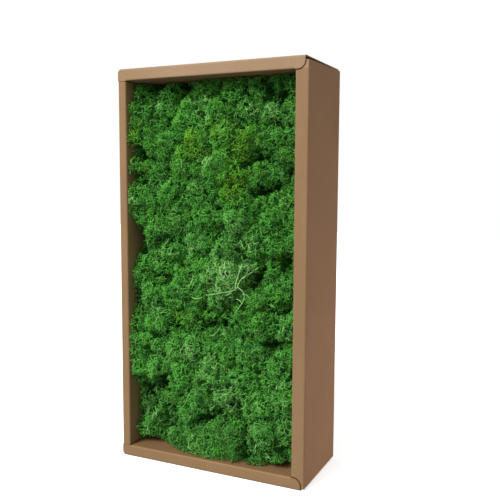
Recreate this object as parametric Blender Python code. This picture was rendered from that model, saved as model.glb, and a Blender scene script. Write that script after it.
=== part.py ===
"""Reindeer moss clumps packed in an open carton tray that stands upright.

Lengths are in metres and +Z is up. The origin is at the middle of the base, and the open front faces -Y.
"""

import math
import random

import bmesh
import bpy
from mathutils import Vector
from mathutils.geometry import delaunay_2d_cdt

# The tray, folded from one sheet of corrugated board with hollow walls
HEIGHT = 0.500
WIDTH = 0.255
DEPTH = 0.112
BOARD = 0.0015
CREASE = 0.0020
CREASE_STEPS = 3
RIM_LEFT = 0.0115
RIM_RIGHT = 0.0165
RIM_TOP = 0.0150
RIM_BOTTOM = 0.0145
SLIT = 0.0008
FOOT_GAP = 0.0005

# The top and bottom rims end in flaps: cut square over the left wall, rounded off beside the right rim
SQUARE_CORNER = 0.0018
FLAP_SHORT = 0.0046
FLAP_RADIUS = 0.0092
FLAP_STEPS = 6
# How far each wall stops short of the tray's corners, at the rim and at the back
PANEL_SHORT_BACK = 0.0024
LEFT_WALL_SHORT = 0.0024
RIGHT_WALL_SHORT_TOP = 0.0052
RIGHT_WALL_SHORT_BOTTOM = 0.0026

# The moss: the gaps left round each clump, and the size of its heads and branchlets
WALL_GAP = 0.0003
CLUMP_GAP = 0.0006
HEAD_PITCH = 0.0360
HEAD_JITTER = 0.30
EDGE_STEP = 0.0140
CREVICE = 0.0150
CLUMP_CREVICE = 0.0230
DOME_POWER = 2.4
TUFTS_PER_HEAD = 9
TUFT_WIDTH = 0.0024
TUFT_LENGTH = 0.0120
TUFT_SPREAD = 0.95
POINT_LENGTH = 0.0060
POINT_SHARE = 0.45
SHORTEST_EDGE = 0.0015
SEED = 11

# Middle of each clump in the opening as x and z, how far its heads lie behind the rim, all in mm, and its dye
CLUMPS = (
    (-88, 452, 20, "leaf"), (-36, 446, 12, "leaf"), (18, 452, 17, "leaf"), (78, 446, 14, "leaf"),
    (-90, 386, 9, "leaf"), (-38, 390, 6, "olive"), (16, 388, 7, "olive"), (76, 386, 9, "leaf"),
    (-86, 322, 5, "leaf"), (-34, 326, 6, "leaf"), (22, 330, 7, "leaf"), (80, 322, 10, "leaf"),
    (-74, 262, 12, "leaf"), (-26, 268, 8, "leaf"), (18, 244, 3, "pale"), (78, 256, 11, "leaf"),
    (-92, 200, 6, "leaf"), (-40, 204, 6, "leaf"), (14, 178, 7, "leaf"), (74, 190, 8, "leaf"),
    (-92, 132, 3, "leaf"), (-44, 134, 6, "leaf"), (14, 114, 4, "pale"), (72, 122, 7, "leaf"),
    (-88, 56, 16, "leaf"), (-34, 60, 4, "leaf"), (22, 46, 5, "leaf"), (76, 54, 6, "leaf"),
)
# How far behind the rim the moss meets each wall of the tray, as pairs of place and depth in mm
LEFT_PROFILE = (
    (31, 18), (71, 21), (90, 24), (114, 4), (130, 3), (176, 4), (206, 18), (240, 9), (259, 17), (283, 40),
    (303, 26), (324, 5), (349, 5), (381, 8), (400, 16), (412, 5), (424, 9), (452, 12), (472, 22),
)
FLOOR_PROFILE = (
    (-116, 19), (-113, 34), (-101, 39), (-91, 43), (-62, 20), (-48, 12), (-40, 10), (-21, 6), (-7, 4),
    (40, 8), (67, 14), (83, 34), (91, 44),
)
CEILING_PROFILE = ((-117, 60), (-95, 48), (-61, 42), (-29, 36), (1, 30), (30, 24), (55, 26), (77, 35), (91, 32))
RIGHT_PROFILE = (
    (15, 40), (60, 14), (120, 12), (130, 22), (200, 10), (260, 20), (330, 10), (385, 22), (430, 12), (485, 32),
)

COLOURS = {
    "kraft": ((0.40, 0.23, 0.13), 0.85),
    "leaf": ((0.055, 0.24, 0.03), 0.80),
    "olive": ((0.11, 0.24, 0.02), 0.80),
    "pale": ((0.17, 0.36, 0.10), 0.80),
}

LEFT, RIGHT = -WIDTH / 2, WIDTH / 2
FRONT, BACK = -DEPTH / 2, DEPTH / 2
OPEN_LEFT, OPEN_RIGHT = LEFT + RIM_LEFT, RIGHT - RIM_RIGHT
OPEN_BOTTOM, OPEN_TOP = RIM_BOTTOM, HEIGHT - RIM_TOP
FRONTWARD = Vector((0, -1, 0))


def clear_scene():
    for obj in list(bpy.data.objects):
        bpy.data.objects.remove(obj)


def material(name):
    colour, roughness = COLOURS[name]
    made = bpy.data.materials.get(name) or bpy.data.materials.new(name)
    made.use_nodes = True
    shader = made.node_tree.nodes["Principled BSDF"]
    shader.inputs["Base Color"].default_value = (*colour, 1.0)
    shader.inputs["Roughness"].default_value = roughness
    shader.inputs["Metallic"].default_value = 0.0
    return made


def new_object(name, bm, finish):
    mesh = bpy.data.meshes.new(name)
    bm.to_mesh(mesh)
    bm.free()
    mesh.materials.append(material(finish))
    obj = bpy.data.objects.new(name, mesh)
    bpy.context.scene.collection.objects.link(obj)
    return obj


def quarter(steps):
    """Angles from 0 to a right angle."""
    return [math.pi / 2 * i / steps for i in range(steps + 1)]


class Sheet:
    """The outer skin of the folded board. Points that coincide are shared, so panels join at their folds."""

    def __init__(self):
        self.bm = bmesh.new()
        self.known = {}

    def vertex(self, point):
        key = tuple(round(c * 1e6) for c in point)
        if key not in self.known:
            self.known[key] = self.bm.verts.new(point)
        return self.known[key]

    def face(self, points):
        corners = []
        for point in points:
            vertex = self.vertex(point)
            if vertex not in corners:
                corners.append(vertex)
        self.bm.faces.new(corners)

    def fold(self, ends, place, centre, start, end):
        """A quarter-round crease about a line at centre (inset, y), from direction start to direction end."""
        rows = []
        for angle in quarter(CREASE_STEPS):
            turned = [s * math.cos(angle) + e * math.sin(angle) for s, e in zip(start, end)]
            inset, y = (c + CREASE * t for c, t in zip(centre, turned))
            rows.append([place(s, inset, y) for s in ends])
        for a, b in zip(rows, rows[1:]):
            self.face([a[0], a[1], b[1], b[0]])


def add_wall(sheet, place, back_ends, panel_ends, fold_ends, inner_ends, rim_width, outline):
    """One hollow wall: back fold, outer panel, outer fold, rim, inner fold and inner panel.

    place(s, inset, y) gives a point: s runs along the wall, inset is the depth below the wall's outer face.
    outline[0] and outline[1] list the rim's edge at each end as (s, inset), from the outer fold inwards.
    """
    outward, inward, forward, backward = (-1, 0), (1, 0), (0, -1), (0, 1)
    sheet.fold(back_ends, place, (CREASE, BACK - CREASE), backward, outward)
    front = FRONT + CREASE
    sheet.face(
        [
            place(back_ends[0], 0, BACK - CREASE), place(back_ends[1], 0, BACK - CREASE),
            place(panel_ends[1], 0, front), place(fold_ends[1], 0, front),
            place(fold_ends[0], 0, front), place(panel_ends[0], 0, front),
        ]
    )
    sheet.fold(fold_ends, place, (CREASE, front), outward, forward)
    low, high = ([place(s, inset, FRONT) for s, inset in side] for side in outline)
    start = [place(s, CREASE, FRONT) for s in fold_ends]
    end = [place(s, rim_width - CREASE, FRONT) for s in inner_ends]
    sheet.face([start[0], start[1], *high, end[1], end[0], *reversed(low)])
    sheet.fold(inner_ends, place, (rim_width - CREASE, front), forward, inward)
    foot = BACK - BOARD - FOOT_GAP
    low, high = inner_ends
    corners = ((low, front), (high, front), (high, foot), (low, foot))
    sheet.face([place(s, rim_width, y) for s, y in corners])


def square_flap(edge, rim_width, fold_end):
    """A flap cut square at the left face, above or below the left rim."""
    return [(edge, CREASE + SQUARE_CORNER), (edge, rim_width), (fold_end, rim_width)]


def round_flap(edge, rim_width, fold_end):
    """A flap that stops short of the right face and has its inner corner rounded off."""
    points = []
    for angle in quarter(FLAP_STEPS):
        cut, rise = FLAP_RADIUS * (1 - math.cos(angle)), FLAP_RADIUS * (1 - math.sin(angle))
        points.append((edge - cut, rim_width - rise))
    return points + [(fold_end, rim_width)]


def flap_notch(wall_end, edge, sign):
    """The end of the right rim, cut round a flap with a slit between them."""
    points = [(wall_end, FLAP_SHORT - SLIT)]
    reach = FLAP_RADIUS + SLIT
    for angle in quarter(FLAP_STEPS):
        s = edge + sign * (FLAP_RADIUS - reach * math.sin(angle))
        inset = FLAP_SHORT + FLAP_RADIUS - reach * math.cos(angle)
        points.append((s, inset))
    return points


def make_tray():
    sheet = Sheet()
    for top in (True, False):
        width = RIM_TOP if top else RIM_BOTTOM

        def place(s, inset, y, top=top):
            return Vector((s, y, HEIGHT - inset if top else inset))

        back_ends = (LEFT + PANEL_SHORT_BACK, RIGHT - PANEL_SHORT_BACK)
        fold_ends = (LEFT + SQUARE_CORNER, RIGHT - FLAP_SHORT)
        inner_ends = (OPEN_LEFT + SLIT, OPEN_RIGHT - SLIT)
        outline = (
            square_flap(LEFT, width, inner_ends[0]),
            round_flap(RIGHT - FLAP_SHORT, width, inner_ends[1]),
        )
        add_wall(sheet, place, back_ends, fold_ends, fold_ends, inner_ends, width, outline)

    inner_ends = (OPEN_BOTTOM + SLIT, OPEN_TOP - SLIT)
    square = (OPEN_BOTTOM + SLIT / 2, OPEN_TOP - SLIT / 2)
    add_wall(
        sheet, lambda s, inset, y: Vector((LEFT + inset, y, s)),
        (LEFT_WALL_SHORT, HEIGHT - LEFT_WALL_SHORT), (LEFT_WALL_SHORT, HEIGHT - LEFT_WALL_SHORT), square,
        inner_ends, RIM_LEFT, [[(square[i], RIM_LEFT - CREASE)] for i in (0, 1)],
    )
    ends = (RIGHT_WALL_SHORT_BOTTOM, HEIGHT - RIGHT_WALL_SHORT_TOP)
    add_wall(
        sheet, lambda s, inset, y: Vector((RIGHT - inset, y, s)),
        (PANEL_SHORT_BACK, HEIGHT - PANEL_SHORT_BACK), ends, ends, inner_ends, RIM_RIGHT,
        (flap_notch(ends[0], OPEN_BOTTOM, -1), flap_notch(ends[1], OPEN_TOP, 1)),
    )
    low, high = CREASE, HEIGHT - CREASE
    near, far = LEFT + CREASE, RIGHT - CREASE
    across = (LEFT + PANEL_SHORT_BACK, RIGHT - PANEL_SHORT_BACK)
    up = (LEFT_WALL_SHORT, HEIGHT - LEFT_WALL_SHORT)
    rim = [(near, low), (across[0], low), (across[1], low), (far, low), (far, up[0]), (far, up[1])]
    rim += [(far, high), (across[1], high), (across[0], high), (near, high), (near, up[1]), (near, up[0])]
    sheet.face([Vector((x, BACK, z)) for x, z in rim])
    bmesh.ops.recalc_face_normals(sheet.bm, faces=sheet.bm.faces)
    sheet.bm.faces.ensure_lookup_table()
    if sheet.bm.faces[-1].normal.y < 0:
        bmesh.ops.reverse_faces(sheet.bm, faces=sheet.bm.faces)
    tray = new_object("carton_tray", sheet.bm, "kraft")
    board = tray.modifiers.new("board", "SOLIDIFY")
    board.thickness = BOARD
    board.offset = -1
    board.use_even_offset = True
    return tray


def profile(pairs, place):
    """Depth read off a list of (place, depth) pairs, straight between them."""
    for (s0, d0), (s1, d1) in zip(pairs, pairs[1:]):
        if place <= s1:
            share = max(0.0, (place - s0) / (s1 - s0))
            return d0 + (d1 - d0) * share
    return pairs[-1][1]


def place_heads(rng):
    """Heads on a loose triangular grid over the opening, as (x, z), with the index of the nearest clump."""
    left, right = OPEN_LEFT + WALL_GAP, OPEN_RIGHT - WALL_GAP
    low, high = OPEN_BOTTOM + WALL_GAP, OPEN_TOP - WALL_GAP
    rows = round((high - low) / (HEAD_PITCH * math.sqrt(3) / 2))
    columns = round((right - left) / HEAD_PITCH)
    heads = []
    for r in range(rows):
        for c in range(columns + r % 2):
            x = left + (right - left) * (c + 0.5 - 0.5 * (r % 2)) / columns
            z = low + (high - low) * (r + 0.5) / rows
            x += rng.uniform(-1, 1) * HEAD_JITTER * HEAD_PITCH
            z += rng.uniform(-1, 1) * HEAD_JITTER * HEAD_PITCH
            x = min(max(x, left + 0.2 * HEAD_PITCH), right - 0.2 * HEAD_PITCH)
            z = min(max(z, low + 0.3 * HEAD_PITCH), high - 0.3 * HEAD_PITCH)
            away = [math.hypot(x - clump[0] / 1e3, z - clump[1] / 1e3) for clump in CLUMPS]
            heads.append((x, z, away.index(min(away))))
    return heads


def clip(polygon, point, normal, tag):
    """The part of a convex polygon behind a line. Each corner carries the tag of the side that starts there."""
    kept = []
    count = len(polygon)
    for i, ((x, z), side) in enumerate(polygon):
        (x2, z2), _ = polygon[(i + 1) % count]
        here = (x - point[0]) * normal[0] + (z - point[1]) * normal[1]
        there = (x2 - point[0]) * normal[0] + (z2 - point[1]) * normal[1]
        if here <= 0:
            kept.append(((x, z), side))
        if (here <= 0) != (there <= 0):
            share = here / (here - there)
            crossing = (x + (x2 - x) * share, z + (z2 - z) * share)
            kept.append((crossing, tag if here <= 0 else side))
    return kept


def head_cells(heads):
    """Each head's cell: the part of the opening that is nearer to it than to any other head."""
    left, right = OPEN_LEFT + WALL_GAP, OPEN_RIGHT - WALL_GAP
    low, high = OPEN_BOTTOM + WALL_GAP, OPEN_TOP - WALL_GAP
    room = [(left, low), (right, low), (right, high), (left, high)]
    corners = []

    def corner(point):
        for i, known in enumerate(corners):
            if math.hypot(point[0] - known[0], point[1] - known[1]) < SHORTEST_EDGE:
                return i
        corners.append(point)
        return len(corners) - 1

    for point in room:
        corner(point)
    cells = []
    for i, (x, z, _) in enumerate(heads):
        polygon = list(zip(room, ("floor", "right", "ceiling", "left")))
        for j, (x2, z2, _) in enumerate(heads):
            away = math.hypot(x2 - x, z2 - z)
            if j != i and away < 4 * HEAD_PITCH:
                polygon = clip(polygon, ((x + x2) / 2, (z + z2) / 2), ((x2 - x) / away, (z2 - z) / away), j)
        loop = [(corner(point), tag) for point, tag in polygon]
        cells.append([(v, tag) for k, (v, tag) in enumerate(loop) if loop[(k + 1) % len(loop)][0] != v])
    return cells, corners


def same_clump(heads, tag, h):
    """Whether the neighbour across a cell's side is a head of the same clump as head h."""
    return isinstance(tag, int) and heads[tag][2] == heads[h][2]


def sides_of(cell):
    """A cell's sides as (first corner, last corner, what lies across)."""
    return [(a, cell[(k + 1) % len(cell)][0], tag) for k, (a, tag) in enumerate(cell)]


def inset_corners(members, heads, cells, corners):
    """A clump's outline: where each corner on it goes, and the corner after it.

    Sides are moved in by half the gap between clumps, except those along the tray's walls.
    """
    coming, going, after = {}, {}, {}
    for h in members:
        for a, b, tag in sides_of(cells[h]):
            if same_clump(heads, tag, h):
                continue
            along = Vector(corners[b]) - Vector(corners[a])
            normal = Vector((-along.y, along.x)).normalized()
            gap = CLUMP_GAP / 2 if isinstance(tag, int) else 0.0
            going[a], coming[b], after[a] = (normal, gap), (normal, gap), b
    moved = {}
    for v in going:
        (n0, g0), (n1, g1) = coming[v], going[v]
        cross = n0.x * n1.y - n0.y * n1.x
        if abs(cross) < 0.15:
            shift = (n0 + n1).normalized() * max(g0, g1)
        else:
            shift = Vector((g0 * n1.y - g1 * n0.y, n0.x * g1 - n1.x * g0)) / cross
        moved[v] = Vector(corners[v]) + shift
    return moved, after


def crevice_depth(x, z, wall, depths, on_border, rng):
    """Depth behind the rim of a point on a cell's outline: measured at a wall, a crevice elsewhere."""
    walls = {
        "left": (LEFT_PROFILE, z), "right": (RIGHT_PROFILE, z),
        "floor": (FLOOR_PROFILE, x), "ceiling": (CEILING_PROFILE, x),
    }
    if wall in walls:
        pairs, place = walls[wall]
        return profile(pairs, place * 1e3) / 1e3 + 0.004 + rng.uniform(0, 0.003)
    base = CLUMP_CREVICE if on_border else CREVICE
    return sum(depths) / len(depths) + base * rng.uniform(0.75, 1.25)


def inside(point, cell, margin):
    """How far a point lies inside a convex outline, less the margin."""
    least = math.inf
    for (a, b) in zip(cell, cell[1:] + cell[:1]):
        along = b - a
        if along.length < 1e-9:
            continue
        normal = Vector((-along.y, along.x)).normalized()
        least = min(least, (point - a).dot(normal))
    return least - margin


def reach_of(start, step, length, outline):
    """The length, up to the one given, that keeps a point inside the outline and behind the rim."""
    while length > 0.0004:
        point = start + step * length
        if inside(Vector((point.x, point.z)), outline, 0.0002) > 0 and point.y > FRONT + 0.0008:
            return length
        length *= 0.8
    return 0.0


def add_point(bm, face, outline, rng):
    """Raises a face into one point."""
    centre = face.calc_center_median()
    step = (face.normal + 0.35 * FRONTWARD + 0.25 * Vector([rng.uniform(-1, 1) for _ in range(3)])).normalized()
    reach = reach_of(centre, step, POINT_LENGTH * rng.uniform(0.7, 1.3), outline)
    if not reach:
        return
    tip = bm.verts.new(centre + step * reach)
    for loop in list(face.loops):
        bm.faces.new((loop.vert, loop.link_loop_next.vert, tip))
    bm.faces.remove(face)


def add_tuft(bm, face, outline, rng):
    """Raises a face into three branchlets from one root, where all of them have room."""
    centre = face.calc_center_median()
    axis = (face.normal + 0.5 * FRONTWARD + 0.2 * Vector([rng.uniform(-1, 1) for _ in range(3)])).normalized()
    base = [loop.vert for loop in face.loops]
    root = [centre + (vert.co - centre).normalized() * TUFT_WIDTH + axis * 0.0008 for vert in base]
    middle = centre + axis * 0.0016
    tips = []
    for i in range(3):
        start = (root[i] + root[(i + 1) % 3] + middle) / 3
        out = start - centre
        out = (out - axis * out.dot(axis)).normalized()
        step = (axis + out * TUFT_SPREAD * rng.uniform(0.5, 1.3)).normalized()
        tips.append(start + step * reach_of(start, step, TUFT_LENGTH * rng.uniform(0.6, 1.2), outline))
    if min(inside(Vector((p.x, p.z)), outline, 0.0002) for p in (*root, *tips)) < 0:
        return False
    if min((tip - middle).length for tip in tips) < 0.0025:
        return False
    root, tips = ([bm.verts.new(p) for p in group] for group in (root, tips))
    middle = bm.verts.new(middle)
    bm.faces.remove(face)
    for i in range(3):
        j = (i + 1) % 3
        bm.faces.new((base[i], base[j], root[j], root[i]))
        bm.faces.new((root[i], root[j], tips[i]))
        bm.faces.new((root[j], middle, tips[i]))
        bm.faces.new((middle, root[i], tips[i]))
    return True


def dome(bm, ring, peak, rng):
    """A head's surface: its ring of points, a few points part of the way up, and its top. Returns the faces."""
    outline = [Vector((vert.co.x, vert.co.z)) for vert in ring]
    middle = sum(outline, Vector((0, 0))) / len(outline)
    size = min((p - middle).length for p in outline)
    foot = sum(vert.co.y for vert in ring) / len(ring)
    count = max(5, round(len(ring) / 2))
    turn = rng.uniform(0, 2 * math.pi)
    inner = [bm.verts.new((middle.x, peak, middle.y))]
    for i in range(count):
        angle = turn + 2 * math.pi * (i + rng.uniform(-0.2, 0.2)) / count
        share = rng.uniform(0.56, 0.70)
        spot = middle + size * share * Vector((math.cos(angle), math.sin(angle)))
        y = peak + (foot - peak) * share**DOME_POWER * 0.8 + rng.uniform(-0.001, 0.001)
        inner.append(bm.verts.new((spot.x, y, spot.y)))
    verts = ring + inner
    flat = [Vector((vert.co.x, vert.co.z)) for vert in verts]
    made = delaunay_2d_cdt(flat, [], [list(range(len(ring)))], 1, 1e-7)
    return [bm.faces.new([verts[made[3][i][0]] for i in triangle]) for triangle in made[2]]


def make_clump(number, heads, cells, corners, depths, rng):
    members = [h for h, head in enumerate(heads) if head[2] == number]
    moved, after = inset_corners(members, heads, cells, corners)
    bm = bmesh.new()
    fronts, dots = {}, {}

    def flat(v):
        return moved.get(v, Vector(corners[v]))

    def front(v):
        """The vertex at a corner. It is shared by the clump's heads that meet there."""
        if v not in fronts:
            meeting = [(h, tag) for h, cell in enumerate(cells) for w, tag in cell if w == v]
            wall = next((tag for _, tag in meeting if not isinstance(tag, int)), None)
            place = flat(v)
            near = [depths[h] for h, _ in meeting]
            depth = crevice_depth(place.x, place.y, wall, near, v in after, rng)
            fronts[v] = bm.verts.new((place.x, FRONT + depth, place.y))
        return fronts[v]

    def dotted(a, b, tag, h):
        """The vertices between two corners. They are shared by the heads on both sides."""
        key = (min(a, b), max(a, b))
        if key not in dots:
            first, last = front(key[0]).co, front(key[1]).co
            steps = max(1, round((last - first).length / EDGE_STEP))
            near = [depths[h]] + ([depths[tag]] if isinstance(tag, int) else [])
            dots[key] = []
            for i in range(1, steps):
                co = first.lerp(last, i / steps)
                depth = crevice_depth(co.x, co.z, tag, near, not same_clump(heads, tag, h), rng)
                dots[key].append(bm.verts.new((co.x, FRONT + depth, co.z)))
        return dots[key] if a < b else dots[key][::-1]

    backs = {v: bm.verts.new((flat(v).x, BACK - BOARD - WALL_GAP, flat(v).y)) for v in after}
    tops = []
    for h in members:
        ring = []
        for a, b, tag in sides_of(cells[h]):
            run = [front(a), *dotted(a, b, tag, h)]
            ring += run
            if not same_clump(heads, tag, h):
                bm.faces.new((backs[a], *run, front(b), backs[b]))
        tops.append((h, dome(bm, ring, FRONT + depths[h], rng)))
    order = [next(iter(after))]
    while after[order[-1]] != order[0]:
        order.append(after[order[-1]])
    bm.faces.new([backs[v] for v in order])
    bmesh.ops.recalc_face_normals(bm, faces=bm.faces)
    bm.normal_update()
    for h, faces in tops:
        cell = [flat(v) for v, _ in cells[h]]
        grown = 0
        for face in sorted(faces, key=lambda f: -f.calc_area() * rng.uniform(0.6, 1.4)):
            if grown < TUFTS_PER_HEAD and add_tuft(bm, face, cell, rng):
                grown += 1
            elif rng.random() < POINT_SHARE:
                add_point(bm, face, cell, rng)
    bmesh.ops.triangulate(bm, faces=bm.faces)
    return new_object(f"moss_clump_{number + 1:02d}", bm, CLUMPS[number][3])


def make_moss():
    rng = random.Random(SEED)
    heads = place_heads(rng)
    cells, corners = head_cells(heads)
    depths = [max(0.0080, CLUMPS[clump][2] / 1e3 + rng.uniform(0.0015, 0.0085)) for _, _, clump in heads]
    for number in range(len(CLUMPS)):
        make_clump(number, heads, cells, corners, depths, rng)


clear_scene()
make_tray()
make_moss()
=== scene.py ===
"""Reindeer moss in its carton tray: the looks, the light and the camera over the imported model.

Lengths are in metres. The tables of places on the moss are in millimetres, seen from the open front, which faces -Y:
x runs to the right from the middle of the tray, and z up from the floor.
"""

import math
import random

import bmesh
import bpy
import numpy as np
from mathutils import Matrix, Vector


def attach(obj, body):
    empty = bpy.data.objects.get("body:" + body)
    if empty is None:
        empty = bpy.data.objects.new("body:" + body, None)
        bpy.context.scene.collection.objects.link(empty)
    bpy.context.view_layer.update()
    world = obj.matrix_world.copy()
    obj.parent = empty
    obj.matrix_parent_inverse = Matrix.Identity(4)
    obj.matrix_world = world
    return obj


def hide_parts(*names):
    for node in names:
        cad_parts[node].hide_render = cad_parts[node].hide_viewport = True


# The tray and its opening, as in the part's own source
WIDTH, DEPTH, BOARD = 0.255, 0.112, 0.0015
OPEN_LEFT, OPEN_RIGHT = -0.1160, 0.1110
OPEN_BOTTOM, OPEN_TOP = 0.0145, 0.4850
FLAP_END, FLAP_RADIUS = 0.1229, 0.0092
FRONT, BACK = -DEPTH / 2, DEPTH / 2
WALL_GAP = 0.0003
# The branchlets stay this far off the walls, and stand out this far in front of the rim at most
ROOM, PROUD = 0.0002, 0.0015

# The rule that lays out the moss heads, as in the part's own source. A head's middle stays off the walls by a share of
# the pitch, and its top lies behind its clump's depth by a random amount.
HEAD_PITCH, HEAD_JITTER, SEED = 0.0360, 0.30, 11
SIDE_ROOM, END_ROOM = 0.2, 0.3
LEAST_HEAD_DEPTH, HEAD_SINK = 0.0080, (0.0015, 0.0085)
# Clumps: x and z of the middle, the depth behind the rim, and the kind
CLUMPS = (
    (-88, 452, 20, "leaf"), (-36, 446, 12, "leaf"), (18, 452, 17, "leaf"), (78, 446, 14, "leaf"),
    (-90, 386, 9, "leaf"), (-38, 390, 6, "olive"), (16, 388, 7, "olive"), (76, 386, 9, "leaf"), (-86, 322, 5, "leaf"),
    (-34, 326, 6, "leaf"), (22, 330, 7, "leaf"), (80, 322, 10, "leaf"), (-74, 262, 12, "leaf"), (-26, 268, 8, "leaf"),
    (18, 244, 3, "pale"), (78, 256, 11, "leaf"), (-92, 200, 6, "leaf"), (-40, 204, 6, "leaf"), (14, 178, 7, "leaf"),
    (74, 190, 8, "leaf"), (-92, 132, 3, "leaf"), (-44, 134, 6, "leaf"), (14, 114, 4, "pale"), (72, 122, 7, "leaf"),
    (-88, 56, 16, "leaf"), (-34, 60, 4, "leaf"), (22, 46, 5, "leaf"), (76, 54, 6, "leaf"),
)
# How far behind the rim the moss meets each wall: the place along the wall, and the depth there
LEFT_PROFILE = (
    (31, 18), (71, 21), (90, 24), (114, 4), (130, 3), (176, 4), (206, 18), (240, 9), (259, 17), (283, 40), (303, 26),
    (324, 4), (349, 4), (381, 6), (400, 16), (412, 3), (424, 6), (452, 8), (472, 18),
)
FLOOR_PROFILE = (
    (-116, 19), (-113, 34), (-101, 39), (-91, 43), (-62, 20), (-48, 12), (-40, 10), (-21, 6), (-7, 4), (40, 8),
    (67, 14), (83, 34), (91, 44),
)
CEILING_PROFILE = (
    (-117, 60), (-95, 48), (-61, 42), (-29, 36), (1, 30), (30, 24), (55, 26), (77, 35), (91, 32),
)
RIGHT_PROFILE = (
    (15, 40), (60, 14), (120, 12), (130, 22), (200, 10), (260, 20), (330, 10), (385, 22), (430, 12), (485, 32),
)
# The two walls whose inner face the photograph shows, and the other two: profile, axis across it, and place
SEEN_WALLS = ((LEFT_PROFILE, 0, OPEN_LEFT), (FLOOR_PROFILE, 1, OPEN_BOTTOM))
HIDDEN_WALLS = ((RIGHT_PROFILE, 0, OPEN_RIGHT), (CEILING_PROFILE, 1, OPEN_TOP))
# Beside a wall a head's foot lies this much deeper than the profile
WALL_DROP = 0.005
# A silhouette against a wall reaches far into the opening where the moss is high there, and less where it is deep
SILHOUETTE_DEPTHS, SILHOUETTE_REACHES, SILHOUETTE_DROP = (0.004, 0.018), (0.022, 0.010), 0.002

# The branchlets fill most of the modelled clefts: how deep these stay inside a clump and between clumps
CLEFT, CLUMP_CLEFT, DOME_POWER = 0.0105, 0.0165, 2.6
# Second-order lumps on each head, whose edges fold in along a wavy line
LOBE_PITCH, LOBE_JITTER, LOBE_RISE = 0.0200, 0.38, 0.0068
FOLD_POWER, FOLD_LEVEL = 3.4, 0.30
WAVES_PER_METRE, WAVE_SIZE = 420.0, 0.0016
# The least depth of the moss behind the rim, and how much deeper it is in the middle of a gap
LEAST_DEPTH, GAP_DEPTH = 0.003, 0.014
# How far from its line a gap ends, in radii
GAP_EDGE = 1.35
# Deep gaps between the lumps: the radius, then the points x, z that each runs through
GAPS = (
    (7, (40, 379), (50, 384), (58, 390), (65, 385)), (7, (55, 346), (66, 349), (82, 355)), (8, (84, 452), (87, 464)),
    (6, (64, 474), (68, 466)), (7, (-56, 478), (-42, 476)), (9, (-92, 479), (-78, 479)), (3, (2, 340), (4, 322)),
    (7, (-12, 181), (5, 184), (17, 187), (26, 181)), (7, (70, 166), (79, 163), (92, 168)),
    (7, (-82, 98), (-72, 106), (-62, 98)), (6, (-74, 64), (-75, 52), (-66, 43)),
    (5, (37, 86), (44, 66), (46, 50), (48, 34), (42, 20)), (6, (-24, 57), (-6, 64), (8, 70), (20, 63)),
    (6, (-94, 147), (-90, 138)), (6, (107, 136), (107, 124)), (7, (54, 238), (61, 246), (66, 256)),
    (8, (96, 256), (99, 270)), (6, (92, 204), (98, 212), (104, 222)), (8, (-106, 400), (-102, 390)),
    (6, (-110, 368), (-106, 358)), (9, (-103, 292), (-102, 276)), (7, (-107, 218), (-105, 206)),
    (8, (-101, 92), (-98, 78)), (5, (-86, 240), (-76, 242), (-68, 235)), (4, (-50, 258), (-40, 254)),
    (6, (-62, 180), (-46, 178), (-38, 170)), (4, (-88, 164), (-80, 160)), (4, (36, 268), (37, 261)),
    (7, (92, 46), (98, 38)), (4, (-46, 54), (-40, 50)), (4, (-64, 373), (-55, 371)), (6, (98, 380), (104, 370)),
    (4, (-28, 345), (-20, 343)), (3, (66, 302), (76, 298)), (4, (-90, 424), (-78, 420)), (4, (28, 430), (36, 424)),
    (5, (-60, 222), (-52, 212)),
)
# Lumps that stand out: x, z, radius, and by how much
BULGES = (
    (-98, 112, 17, 9), (-112, 160, 14, 5), (-112, 340, 12, 5), (-98, 440, 16, 5), (-72, 456, 15, 5),
    (-28, 455, 15, 4), (44, 448, 11, 4), (78, 438, 12, 4), (-60, 428, 14, 3), (-105, 420, 12, 4), (-62, 398, 15, 4),
    (25, 352, 13, 5), (60, 372, 12, 4), (40, 405, 14, 3), (-72, 345, 16, 4), (-85, 318, 14, 4), (38, 315, 13, 5),
    (-35, 290, 15, 4), (-88, 258, 15, 4), (12, 243, 22, 9), (62, 222, 13, 4), (-84, 212, 14, 4), (-72, 184, 14, 5),
    (62, 196, 14, 4), (-10, 155, 16, 4), (-45, 140, 14, 4), (5, 130, 15, 4), (30, 108, 13, 4), (-45, 86, 15, 4),
    (20, 92, 14, 3), (-22, 34, 16, 5), (22, 32, 14, 4), (62, 62, 16, 5), (75, 112, 16, 3), (-95, 40, 13, 3),
    (-55, 40, 12, 4), (85, 80, 13, 3), (75, 290, 14, 4), (85, 425, 12, 3), (0, 470, 14, 3),
)

# Dye of each kind of clump: 0 yellow-green, 0.35 leaf green, 0.7 pale green, 1 bleached
TINTS = {"leaf": 0.34, "olive": 0.27, "pale": 0.50}
# Low in the tray the dye is paler, and close to the floor the moss is darker: the change, the height in metres where it
# starts, and how far below that it is whole
LOW_TINT, LOW_TONE = (0.07, 0.230, 0.140), (-0.17, 0.085, 0.050)
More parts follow.
